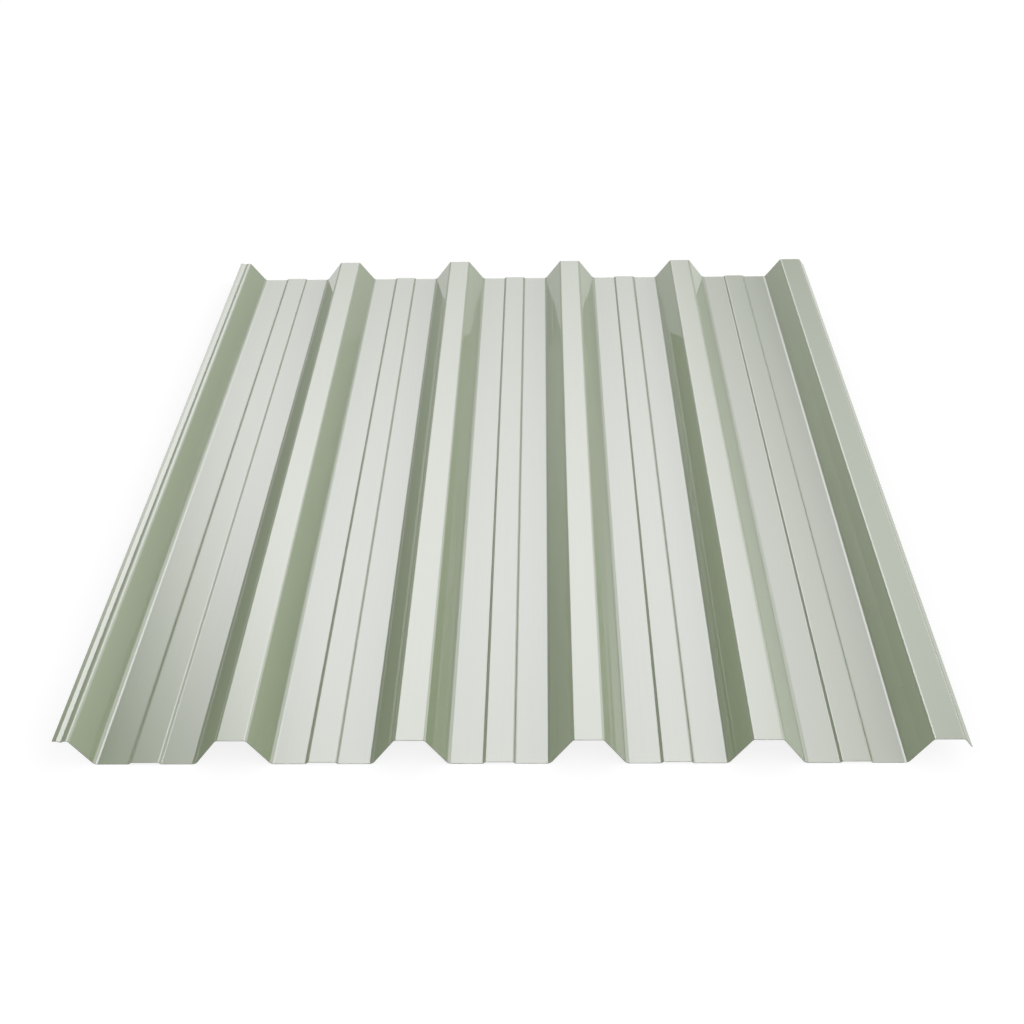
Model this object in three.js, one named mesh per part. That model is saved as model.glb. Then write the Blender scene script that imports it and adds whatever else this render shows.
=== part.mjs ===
// A trapezoidal roofing and cladding sheet, roll-formed from one strip of coated steel.
// Millimetres. X runs across the ribs, Y along them and Z up, with the pans on Z = 0.
import * as THREE from "three";

// The strip and its cut length
const sheetLength = 1420;
const gauge = 0.75;

// The repeating section. Widths are between theoretical corners at mid-gauge, and bend
// radii are inside ones.
const panCount = 5;
const ribPitch = 207;
const profileHeight = 35; // outside, from under a pan to the top of a crown
const crownWidth = 35.4; // the level top of a rib
const webRun = 26.6; // how far a web reaches sideways between pan and crown
const crownBendRadius = 4.5; // between a crown and a web
const footBendRadius = 7.5; // between a web and a pan

// The stiffening swage, a shallow raised band along the middle of every pan
const swageWidth = 35.2; // between the middles of its two steps
const swageHeight = 2.2;
const swageStepRun = 2.4;
const swageBendRadius = 2.8;

// The underlap edge stops halfway over a crown. Its groove breaks the film of water
// that the lap would otherwise draw across.
const underlapWidth = 18.2; // from the web's corner to the cut edge
const grooveSetback = 4.4; // from the web's corner to the groove
const grooveInnerRun = 3.8; // the groove's side nearer the web
const grooveOuterRun = 5.2;
const grooveDepth = 1.5;
const grooveBendRadius = 1.2;

// The overlap edge is a whole crown with a short lip that slopes as the webs do.
const lipRun = 9;

// Straight segments along each bend
const bendSegments = 6;

const panLevel = gauge / 2;
const crownLevel = profileHeight - gauge / 2;
const swageLevel = panLevel + swageHeight;
const panWidth = ribPitch - crownWidth - 2 * webRun;
const panFlat = (panWidth - swageWidth - swageStepRun) / 2;
const lipLevel = crownLevel - (lipRun * (crownLevel - panLevel)) / webRun;

// The strip's mid-gauge line, from the underlap's cut edge to the lip's: the corners it
// is folded at, with each one's inside bend radius
function foldLine() {
  const folds = [{ corner: new THREE.Vector2(0, crownLevel) }];
  const foldAt = (run, level, radius) => {
    const x = folds.at(-1).corner.x + run;
    folds.push({ corner: new THREE.Vector2(x, level), radius });
  };

  const edgeFlat = underlapWidth - grooveSetback - grooveInnerRun - grooveOuterRun;
  foldAt(edgeFlat, crownLevel, grooveBendRadius);
  foldAt(grooveOuterRun, crownLevel - grooveDepth, grooveBendRadius);
  foldAt(grooveInnerRun, crownLevel, grooveBendRadius);
  foldAt(grooveSetback, crownLevel, crownBendRadius);

  for (let pan = 0; pan < panCount; pan++) {
    foldAt(webRun, panLevel, footBendRadius);
    foldAt(panFlat, panLevel, swageBendRadius);
    foldAt(swageStepRun, swageLevel, swageBendRadius);
    foldAt(swageWidth - swageStepRun, swageLevel, swageBendRadius);
    foldAt(swageStepRun, panLevel, swageBendRadius);
    foldAt(panFlat, panLevel, footBendRadius);
    foldAt(webRun, crownLevel, crownBendRadius);
    foldAt(crownWidth, crownLevel, crownBendRadius);
  }
  foldAt(lipRun, lipLevel);
  return folds;
}

// The strip's direction from one fold to the next
function heading(from, to) {
  return to.corner.clone().sub(from.corner).normalize();
}

// The point beside another, at a distance to the right of a direction of travel
function toTheRight(point, direction, distance) {
  return new THREE.Vector2(direction.y, -direction.x).multiplyScalar(distance).add(point);
}

// The bend at a fold, on the face to the right of the mid-gauge line. Both faces' arcs
// have one centre, which keeps the gauge even round the bend.
function bendArc(before, fold, after) {
  const arriving = heading(before, fold);
  const leaving = heading(fold, after);
  const turn = Math.atan2(arriving.cross(leaving), arriving.dot(leaving));
  const right = -Math.sign(turn); // 1 where the bend's centre is on the right
  const midRadius = fold.radius + gauge / 2;
  const tangent = midRadius * Math.tan(Math.abs(turn) / 2);
  const start = fold.corner.clone().addScaledVector(arriving, -tangent);
  const centre = toTheRight(start, arriving, right * midRadius);
  const radius = midRadius - (right * gauge) / 2;
  const startAngle = arriving.angle() + (right * Math.PI) / 2;
  return new THREE.EllipseCurve(
    centre.x, centre.y, radius, radius,
    startAngle, startAngle + turn, turn < 0,
  );
}

// The face to the right of the mid-gauge line, as straight flats between bends
function faceCurves(folds) {
  const curves = [];
  let pen = toTheRight(folds[0].corner, heading(folds[0], folds[1]), gauge / 2);
  const drawTo = (point) => {
    curves.push(new THREE.LineCurve(pen, point));
    pen = point;
  };

  for (let i = 1; i < folds.length - 1; i++) {
    const bend = bendArc(folds[i - 1], folds[i], folds[i + 1]);
    drawTo(bend.getPoint(0));
    curves.push(bend);
    pen = bend.getPoint(1);
  }
  const last = folds.at(-1);
  drawTo(toTheRight(last.corner, heading(folds.at(-2), last), gauge / 2));
  return curves;
}

// The section's closed outline: out along the underside and back along the upper side,
// joined by the two cut edges
function sectionShape() {
  const folds = foldLine();
  const underside = faceCurves(folds);
  const upperSide = faceCurves(folds.toReversed());
  const cutEdge = (from, to) => new THREE.LineCurve(from.at(-1).v2, to[0].v1);
  const section = new THREE.Shape();
  section.curves = [
    ...underside,
    cutEdge(underside, upperSide),
    ...upperSide,
    cutEdge(upperSide, underside),
  ];
  return section;
}

function roofingSheet() {
  const geometry = new THREE.ExtrudeGeometry(sectionShape(), {
    depth: sheetLength,
    curveSegments: bendSegments / 2, // an arc is drawn with twice this many
    bevelEnabled: false,
  });
  const coating = new THREE.MeshStandardMaterial({
    color: new THREE.Color().setRGB(0.541, 0.6, 0.467, THREE.SRGBColorSpace),
    roughness: 0.2,
    metalness: 0,
  });
  const sheet = new THREE.Mesh(geometry, coating);
  sheet.name = "roofing_sheet";

  // The section is drawn in XY. It stands up into XZ, centred over the origin.
  geometry.computeBoundingBox();
  const { min, max } = geometry.boundingBox;
  sheet.rotation.x = Math.PI / 2;
  sheet.position.set(-(min.x + max.x) / 2, sheetLength / 2, -min.y);
  return sheet;
}

const part = new THREE.Group();
part.add(roofingSheet());

export default part;
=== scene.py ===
import math

import bmesh
import bpy
from mathutils import Matrix, Vector


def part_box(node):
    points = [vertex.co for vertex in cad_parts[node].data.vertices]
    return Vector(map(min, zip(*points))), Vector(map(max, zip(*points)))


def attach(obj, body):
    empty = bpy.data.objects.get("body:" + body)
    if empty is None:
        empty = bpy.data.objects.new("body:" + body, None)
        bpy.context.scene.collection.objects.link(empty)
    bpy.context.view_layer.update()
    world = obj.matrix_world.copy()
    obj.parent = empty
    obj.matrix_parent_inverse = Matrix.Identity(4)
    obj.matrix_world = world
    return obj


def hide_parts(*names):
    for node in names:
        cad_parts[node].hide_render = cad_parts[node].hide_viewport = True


# Metres. X runs across the ribs, Y along them and Z up.
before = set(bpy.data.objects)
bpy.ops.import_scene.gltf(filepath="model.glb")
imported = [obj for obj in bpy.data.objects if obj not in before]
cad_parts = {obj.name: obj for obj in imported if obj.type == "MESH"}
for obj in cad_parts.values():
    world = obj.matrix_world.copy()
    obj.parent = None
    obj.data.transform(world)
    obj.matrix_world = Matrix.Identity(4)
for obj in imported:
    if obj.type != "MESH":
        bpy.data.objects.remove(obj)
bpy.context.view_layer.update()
print("frame loaded")


class Wire:  # one output socket, which Python's own arithmetic works on
    def __init__(self, graph, socket):
        self.graph = graph
        self.socket = socket

    def maths(self, operation, first, second):
        return self.graph.maths(operation, first, second)

    def __add__(self, other):
        return self.maths("ADD", self, other)

    def __radd__(self, other):
        return self.maths("ADD", other, self)

    def __sub__(self, other):
        return self.maths("SUBTRACT", self, other)

    def __rsub__(self, other):
        return self.maths("SUBTRACT", other, self)

    def __mul__(self, other):
        return self.maths("MULTIPLY", self, other)

    def __rmul__(self, other):
        return self.maths("MULTIPLY", other, self)

    def __truediv__(self, other):
        return self.maths("DIVIDE", self, other)

    def __rtruediv__(self, other):
        return self.maths("DIVIDE", other, self)


class Graph:  # a node tree that nodes are added to by one method
    def __init__(self, tree):
        self.tree = tree
        tree.nodes.clear()

    def node(self, kind, settings, links, output=0):
        made = self.tree.nodes.new("ShaderNode" + kind)
        for name, value in settings.items():
            setattr(made, name, value)
        for name, value in links.items():
            if isinstance(value, Wire):
                self.tree.links.new(value.socket, made.inputs[name])
            else:
                made.inputs[name].default_value = value
        return Wire(self, made.outputs[output]) if made.outputs else made

    def maths(self, operation, first, second):
        return self.node("Math", {"operation": operation}, {0: first, 1: second})

    def between(self, value, low, high, atLow=0.0, atHigh=1.0, curve="SMOOTHSTEP"):
        span = {"Value": value, "From Min": low, "From Max": high, "To Min": atLow, "To Max": atHigh}
        return self.node("MapRange", {"interpolation_type": curve}, span)

    def blend(self, share, first, second):  # Mix keeps its colours on sockets 6 and 7
        colours = {0: share, 6: (*first, 1), 7: (*second, 1)}
        return self.node("Mix", {"data_type": "RGBA"}, colours, 2)

    def anyOf(self, *rayKinds):
        found = [self.node("LightPath", {}, {}, kind) for kind in rayKinds]
        total = found[0]
        for one in found[1:]:
            total = total + one
        return total


def newMaterial(name):
    material = bpy.data.materials.new(name)
    material.use_nodes = True
    return material, Graph(material.node_tree)


cameraSet = {
    "lens": 57.98,  # millimetres
    "place": (0.0413, -2.1979, 1.2435),
    "dip": 31.203,  # degrees below level
    "swing": -1.335,  # to the right
    "roll": -0.997,
}


def addCamera(settings):
    camera = bpy.data.cameras.new("viewCamera")
    camera.lens = settings["lens"]
    cameraObject = bpy.data.objects.new("viewCamera", camera)
    bpy.context.scene.collection.objects.link(cameraObject)
    swing = Matrix.Rotation(-math.radians(settings["swing"]), 4, "Z")
    dip = Matrix.Rotation(math.radians(90 - settings["dip"]), 4, "X")
    roll = Matrix.Rotation(math.radians(settings["roll"]), 4, "Z")
    cameraObject.matrix_world = Matrix.Translation(settings["place"]) @ swing @ dip @ roll
    bpy.context.scene.camera = cameraObject


addCamera(cameraSet)
print("camera placed")


sheetSet = {
    "gauge": 0.00075,
    "panCount": 5,
    "ribPitch": 0.207,
    "crownWidth": 0.0354,
    "webRun": 0.0266,
    "crownBendRadius": 0.0045,  # inside, as are the other bend radii
    "footBendRadius": 0.0075,
    "swageWidth": 0.0352,
    "swageHeight": 0.0022,
    "swageStepRun": 0.0024,
    "swageBendRadius": 0.0028,
    "underlapWidth": 0.0182,
    "grooveSetback": 0.0044,
    "grooveInnerRun": 0.0038,
    "grooveOuterRun": 0.0052,
    "grooveDepth": 0.0015,
    "grooveBendRadius": 0.0012,
    "lipRun": 0.009,
    "bendSteps": 12,
    "flatMargin": 0.0003,  # a narrow strip beside each bend that keeps the flat's shading even
    "lengthSteps": 12,
    "cutCornerWidth": 0.00006,
    "cutCornerSteps": 2,
    "cutCornerAngle": 60,  # only corners sharper than this are blunted
}


# The corners that the strip is folded at, along its mid-gauge line, with their bend radii
def foldLine(settings, height):
    gauge = settings["gauge"]
    panLevel = gauge / 2
    crownLevel = height - gauge / 2
    swageLevel = panLevel + settings["swageHeight"]
    webRun = settings["webRun"]
    panWidth = settings["ribPitch"] - settings["crownWidth"] - 2 * webRun
    stepRun = settings["swageStepRun"]
    panFlat = (panWidth - settings["swageWidth"] - stepRun) / 2
    crownBend = settings["crownBendRadius"]
    footBend = settings["footBendRadius"]
    swageBend = settings["swageBendRadius"]
    grooveBend = settings["grooveBendRadius"]

    folds = [(Vector((0, 0, crownLevel)), 0)]

    def foldAt(run, level, radius):
        folds.append((Vector((folds[-1][0].x + run, 0, level)), radius))

    grooveRuns = settings["grooveInnerRun"] + settings["grooveOuterRun"]
    foldAt(settings["underlapWidth"] - settings["grooveSetback"] - grooveRuns, crownLevel, grooveBend)
    foldAt(settings["grooveOuterRun"], crownLevel - settings["grooveDepth"], grooveBend)
    foldAt(settings["grooveInnerRun"], crownLevel, grooveBend)
    foldAt(settings["grooveSetback"], crownLevel, crownBend)
    for _ in range(settings["panCount"]):
        foldAt(webRun, panLevel, footBend)
        foldAt(panFlat, panLevel, swageBend)
        foldAt(stepRun, swageLevel, swageBend)
        foldAt(settings["swageWidth"] - stepRun, swageLevel, swageBend)
        foldAt(stepRun, panLevel, swageBend)
        foldAt(panFlat, panLevel, footBend)
        foldAt(webRun, crownLevel, crownBend)
        foldAt(settings["crownWidth"], crownLevel, crownBend)
    lipShare = settings["lipRun"] / webRun
    foldAt(settings["lipRun"], crownLevel - lipShare * (crownLevel - panLevel), 0)
    return folds


def drawTo(mesh, tip, place):
    tip = bmesh.ops.extrude_vert_indiv(mesh, verts=[tip])["verts"][0]
    tip.co = place
    return tip


def drawFlat(mesh, tip, place, margin):
    along = (place - tip.co).normalized() * margin
    tip = drawTo(mesh, tip, tip.co + along)
    tip = drawTo(mesh, tip, place - along)
    return drawTo(mesh, tip, place)


# Flats drawn vertex by vertex, with a spin for each bend
def drawSection(mesh, folds, settings):
    tip = mesh.verts.new(folds[0][0])
    for (before, _), (corner, radius), (after, _) in zip(folds, folds[1:], folds[2:]):
        arriving = (corner - before).normalized()
        leaving = (after - corner).normalized()
        turn = arriving.cross(leaving).y  # about +Y, so positive is downwards
        angle = math.copysign(arriving.angle(leaving), turn)
        midRadius = radius + settings["gauge"] / 2
        tangent = midRadius * math.tan(abs(angle) / 2)
        tip = drawFlat(mesh, tip, corner - arriving * tangent, settings["flatMargin"])
        inwards = Vector((-arriving.z, 0, arriving.x)) * math.copysign(1, -angle)
        bend = bmesh.ops.spin(
            mesh, geom=[tip], cent=tip.co + inwards * midRadius, axis=(0, 1, 0),
            angle=angle, steps=settings["bendSteps"], use_duplicate=False,
        )
        tip = next(one for one in bend["geom_last"] if isinstance(one, bmesh.types.BMVert))
    return drawFlat(mesh, tip, folds[-1][0], settings["flatMargin"])


def rollOut(mesh, length, steps):
    edges = mesh.edges[:]
    for _ in range(steps):
        grown = bmesh.ops.extrude_edge_only(mesh, edges=edges)["geom"]
        edges = [one for one in grown if isinstance(one, bmesh.types.BMEdge)]
        ends = [one for one in grown if isinstance(one, bmesh.types.BMVert)]
        bmesh.ops.translate(mesh, verts=ends, vec=(0, length / steps, 0))
    bmesh.ops.reverse_faces(mesh, faces=mesh.faces[:])  # the upper side is the outer one


def addGauge(sheet, settings):
    wall = sheet.modifiers.new("gauge", "SOLIDIFY")
    wall.thickness = settings["gauge"]
    wall.offset = 0
    wall.use_even_offset = True
    wall.material_offset = 1  # the underside
    wall.material_offset_rim = 2  # the cut edges
    blunt = sheet.modifiers.new("cutCorners", "BEVEL")
    blunt.width = settings["cutCornerWidth"]
    blunt.segments = settings["cutCornerSteps"]
    blunt.limit_method = "ANGLE"
    blunt.angle_limit = math.radians(settings["cutCornerAngle"])
    blunt.harden_normals = True


def addSheet(settings, node, materials):
    low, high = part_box(node)
    mesh = bmesh.new()
    drawSection(mesh, foldLine(settings, high.z - low.z), settings)
    bmesh.ops.translate(mesh, verts=mesh.verts[:], vec=low)
    rollOut(mesh, high.y - low.y, settings["lengthSteps"])

    data = bpy.data.meshes.new("coated_sheet")
    mesh.to_mesh(data)
    mesh.free()
    data.shade_smooth()
    for material in materials:
        data.materials.append(material)
    sheet = bpy.data.objects.new("coated_sheet", data)
    bpy.context.scene.collection.objects.link(sheet)
    addGauge(sheet, settings)
    return sheet


def noise(graph, scale, detail=2.0):
    place = graph.node("TexCoord", {}, {}, "Object")
    place = graph.node("Mapping", {}, {"Vector": place, "Scale": scale})
    return graph.node("TexNoise", {}, {"Vector": place, "Scale": 1.0, "Detail": detail}, "Fac")


coatSet = {
    "thickColour": (0.256, 0.313, 0.186),
    "thinColour": (0.266, 0.323, 0.194),
    "roughness": 0.02,
    "roughnessSpread": 0.01,
    "rollScale": (300, 2, 300),  # per metre, so the coat's streaks run along the sheet
    "peelScale": (700, 700, 700),
    "peelHeight": 0.0000002,
}


def addCoat(settings):
    material, graph = newMaterial("sageCoat")
    rolled = noise(graph, settings["rollScale"])
    peel = noise(graph, settings["peelScale"], 1.0)
    bump = graph.node("Bump", {}, {"Height": peel, "Distance": settings["peelHeight"]})
    roughness = settings["roughness"] + settings["roughnessSpread"] * (rolled - 0.5)
    colour = graph.blend(rolled, settings["thickColour"], settings["thinColour"])
    coat = graph.node("BsdfPrincipled", {}, {
        "Base Color": colour, "Roughness": roughness, "Normal": bump,
    })
    graph.node("OutputMaterial", {}, {"Surface": coat})
    return material


backingSet = {
    "thickColour": (0.51, 0.52, 0.49),
    "thinColour": (0.47, 0.48, 0.46),  # where the primer shows through
    "roughness": 0.35,
    "roughnessSpread": 0.1,
    "rollScale": (300, 2, 300),
}


def addBacking(settings):
    material, graph = newMaterial("backingCoat")
    rolled = noise(graph, settings["rollScale"])
    roughness = settings["roughness"] + settings["roughnessSpread"] * (rolled - 0.5)
    colour = graph.blend(rolled, settings["thickColour"], settings["thinColour"])
    coat = graph.node("BsdfPrincipled", {}, {"Base Color": colour, "Roughness": roughness})
    graph.node("OutputMaterial", {}, {"Surface": coat})
    return material


cutSet = {
    "steelColour": (0.20, 0.20, 0.19),
    "zincColour": (0.25, 0.25, 0.24),  # smeared over the steel by the blade
    "roughness": 0.4,
    "roughnessSpread": 0.2,
    "shearScale": (6000, 6000, 900),  # the blade's scores stand upright
}


def addCutSteel(settings):
    material, graph = newMaterial("cutSteel")
    sheared = noise(graph, settings["shearScale"])
    roughness = settings["roughness"] + settings["roughnessSpread"] * (sheared - 0.5)
    colour = graph.blend(sheared, settings["steelColour"], settings["zincColour"])
    steel = graph.node("BsdfPrincipled", {}, {
        "Base Color": colour, "Metallic": 1.0, "Roughness": roughness,
    })
    graph.node("OutputMaterial", {}, {"Surface": steel})
    return material


finishes = [addCoat(coatSet), addBacking(backingSet), addCutSteel(cutSet)]
sheet = addSheet(sheetSet, "roofing_sheet", finishes)
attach(sheet, "root")
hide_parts("roofing_sheet")
print("sheet formed")


# Each pair is where a soft edge starts and ends. Heights are sines of the angle above level.
lightSet = {
    "fillLow": 1.22,  # at the horizon, none overhead
    "fillLeft": 0.37,
    "fillRight": 1.1,
    "panelColour": (1.036, 1.0, 1.075),
    "panelTop": (0.70, 0.78),
    "panelLeft": (-28.3, -14.1),  # degrees from straight ahead, where it would meet the horizon
    "panelLeftLean": 9.4,  # to the right, from the horizon to overhead
    "frontStrength": 8.25,
    "frontRise": (0.225, 0.70),
    "frontRight": (0.124, 0.426),  # sideways over height
    "lowestHeight": 0.02,  # keeps that ratio finite
    "sideStrength": 3.3,
    "sideRise": (0.354, 0.798),
    "sideLean": 0.0116,  # how much lower it starts for each degree to the right
    "sideFoot": (0.03, 0.18),
    "sideEnd": (36, 46),  # degrees from straight ahead
    "sideBack": (0, 0.1),  # none of it is behind the sheet
}


def fillStrength(graph, x, z, settings):
    low = graph.between(z, 0, 1, settings["fillLow"], 0, "LINEAR")
    left = graph.between(x, 0, -1, 0, settings["fillLeft"], "LINEAR")
    right = graph.between(x, 0, 1, 0, settings["fillRight"], "LINEAR")
    return low + left + right


def panelStrength(graph, x, y, z, settings):
    depth = graph.maths("ABSOLUTE", y, 0)  # the front panel is repeated behind the sheet
    swing = graph.maths("ARCTAN2", x, depth) * (180 / math.pi)
    left = graph.between(swing - settings["panelLeftLean"] * z, *settings["panelLeft"])
    top = 1 - graph.between(z, *settings["panelTop"])

    spread = x / graph.maths("MAXIMUM", z, settings["lowestHeight"])
    right = 1 - graph.between(spread, *settings["frontRight"])
    front = graph.between(z, *settings["frontRise"]) * right * settings["frontStrength"]

    rise = graph.between(z + settings["sideLean"] * swing, *settings["sideRise"])
    foot = graph.between(z, *settings["sideFoot"])
    end = 1 - graph.between(swing, *settings["sideEnd"])
    ahead = graph.between(y, *settings["sideBack"])
    side = rise * foot * end * ahead * (1 - right) * settings["sideStrength"]
    return (front + side) * left * top


def addStudioLight(settings):
    world = bpy.data.worlds.new("studio")
    world.use_nodes = True
    bpy.context.scene.world = world
    graph = Graph(world.node_tree)
    direction = graph.node("TexCoord", {}, {}, "Generated")
    parts = graph.node("SeparateXYZ", {}, {"Vector": direction}).socket.node.outputs
    x, y, z = (Wire(graph, part) for part in parts)

    panels = graph.node("Background", {}, {
        "Color": (*settings["panelColour"], 1),
        "Strength": panelStrength(graph, x, y, z, settings) * graph.anyOf("Is Glossy Ray"),
    })
    shown = graph.anyOf("Is Camera Ray", "Is Glossy Ray", "Is Transmission Ray")
    backdrop = graph.node("Background", {}, {
        "Color": (1, 1, 1, 1),
        "Strength": shown + (1 - shown) * fillStrength(graph, x, z, settings),
    })
    both = graph.node("AddShader", {}, {0: panels, 1: backdrop})
    graph.node("OutputWorld", {}, {"Surface": both})


floorSet = {
    "size": 60.0,
    "depth": 0.0002,  # under the pans
    "colour": 0.28,
    "white": 1.03,  # what the open floor adds up to
}


def openDaylight(settings):  # what the whole fill gives a level surface
    sides = settings["fillLeft"] + settings["fillRight"]
    return settings["fillLow"] / 3 + sides * 2 / (3 * math.pi)


def addFloor(settings, daylight):
    mesh = bmesh.new()
    bmesh.ops.create_grid(mesh, x_segments=1, y_segments=1, size=settings["size"] / 2)
    bmesh.ops.translate(mesh, verts=mesh.verts[:], vec=(0, 0, -settings["depth"]))
    data = bpy.data.meshes.new("studioFloor")
    mesh.to_mesh(data)
    mesh.free()
    floor = bpy.data.objects.new("studioFloor", data)
    bpy.context.scene.collection.objects.link(floor)

    material, graph = newMaterial("paleFloor")
    grey = (settings["colour"],) * 3
    lit = graph.node("BsdfDiffuse", {}, {"Color": (*grey, 1)})
    lift = settings["white"] - settings["colour"] * daylight
    seen = graph.anyOf("Is Camera Ray", "Is Glossy Ray", "Is Transmission Ray")
    glow = graph.node("Emission", {}, {"Color": (1, 1, 1, 1), "Strength": seen * lift})
    both = graph.node("AddShader", {}, {0: lit, 1: glow})
    graph.node("OutputMaterial", {}, {"Surface": both})
    data.materials.append(material)


addFloor(floorSet, openDaylight(lightSet))
addStudioLight(lightSet)
bpy.context.scene.view_settings.view_transform = "Standard"
print("floor and light set")
